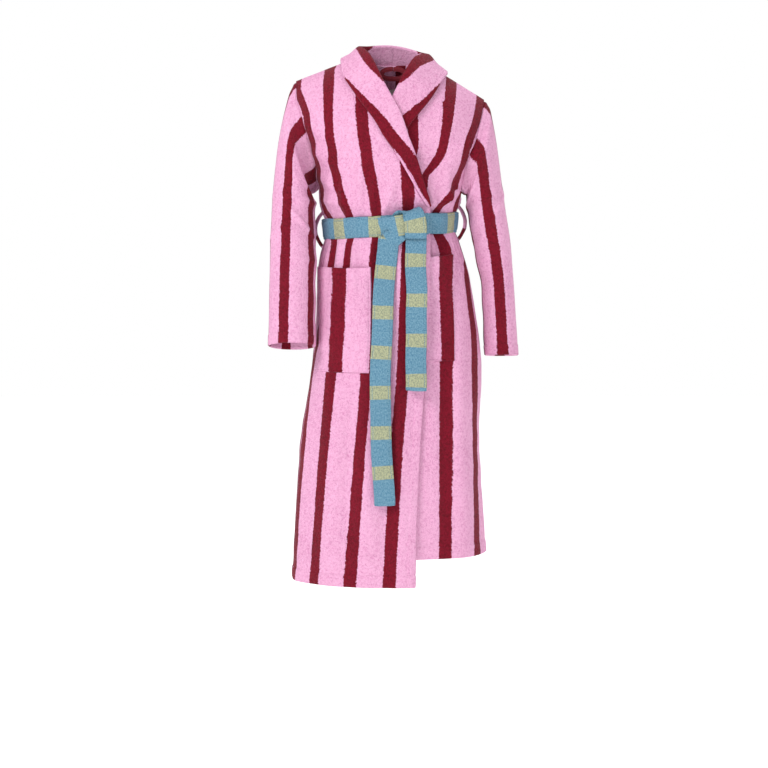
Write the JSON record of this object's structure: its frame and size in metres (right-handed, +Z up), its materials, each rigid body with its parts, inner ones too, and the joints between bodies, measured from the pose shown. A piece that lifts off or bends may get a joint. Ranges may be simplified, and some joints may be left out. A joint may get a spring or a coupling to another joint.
{
  "type": "bathrobe",
  "caption": "Knee-length wrap bathrobe in striped towelling with shawl collar, patch pockets and a tied contrast belt.",
  "frame": {"origin": "middle of the neck opening at shoulder level, where the wearer's shoulders or a hanger hold the robe", "axes": "+X to the wearer's left, +Y to the wearer's back, +Z up"},
  "size_m": [0.565, 0.2861, 1.216],
  "materials": {
    "pink_towelling": "looped towelling, pink with upright burgundy stripes",
    "belt_cloth": "flat-woven cloth, blue with pale green blocks",
    "burgundy_tape": "narrow woven tape",
    "white_satin_tape": "smooth woven tape, blank"
  },
  "bodies": {
    "robe": {"back_panel": "pink_towelling", "right_front_panel": "pink_towelling", "left_front_panel": "pink_towelling", "right_collar_half": "pink_towelling", "left_collar_half": "pink_towelling", "right_pocket": "pink_towelling", "left_pocket": "pink_towelling", "right_belt_loop": "pink_towelling", "left_belt_loop": "pink_towelling", "belt_waist_band": "belt_cloth", "belt_knot": "belt_cloth", "care_label": "white_satin_tape"},
    "right_sleeve": {"right_sleeve": "pink_towelling"},
    "left_sleeve": {"left_sleeve": "pink_towelling"},
    "long_tail": {"belt_long_tail": "belt_cloth"},
    "short_tail": {"belt_short_tail": "belt_cloth"},
    "hanging_loop": {"hanging_loop": "burgundy_tape"}
  },
  "joints": [
    {"name": "right_sleeve_swing", "type": "hinge", "parent": "robe", "child": "right_sleeve", "pos_m": [-0.19, 0, -0.06], "axis": [-1, 0, 0], "range_deg": [0, 60]},
    {"name": "left_sleeve_swing", "type": "hinge", "parent": "robe", "child": "left_sleeve", "pos_m": [0.19, 0, -0.1], "axis": [-1, 0, 0], "range_deg": [0, 60]},
    {"name": "long_tail_swing", "type": "hinge", "parent": "robe", "child": "long_tail", "pos_m": [-0.008, -0.116, -0.379], "axis": [-1, 0, 0], "range_deg": [0, 60]},
    {"name": "short_tail_swing", "type": "hinge", "parent": "robe", "child": "short_tail", "pos_m": [0.054, -0.116, -0.379], "axis": [-1, 0, 0], "range_deg": [0, 60]},
    {"name": "hanging_loop_flip", "type": "hinge", "parent": "robe", "child": "hanging_loop", "pos_m": [0.005, 0.062, 0.013], "axis": [-1, 0, 0], "range_deg": [0, 90]}
  ]
}
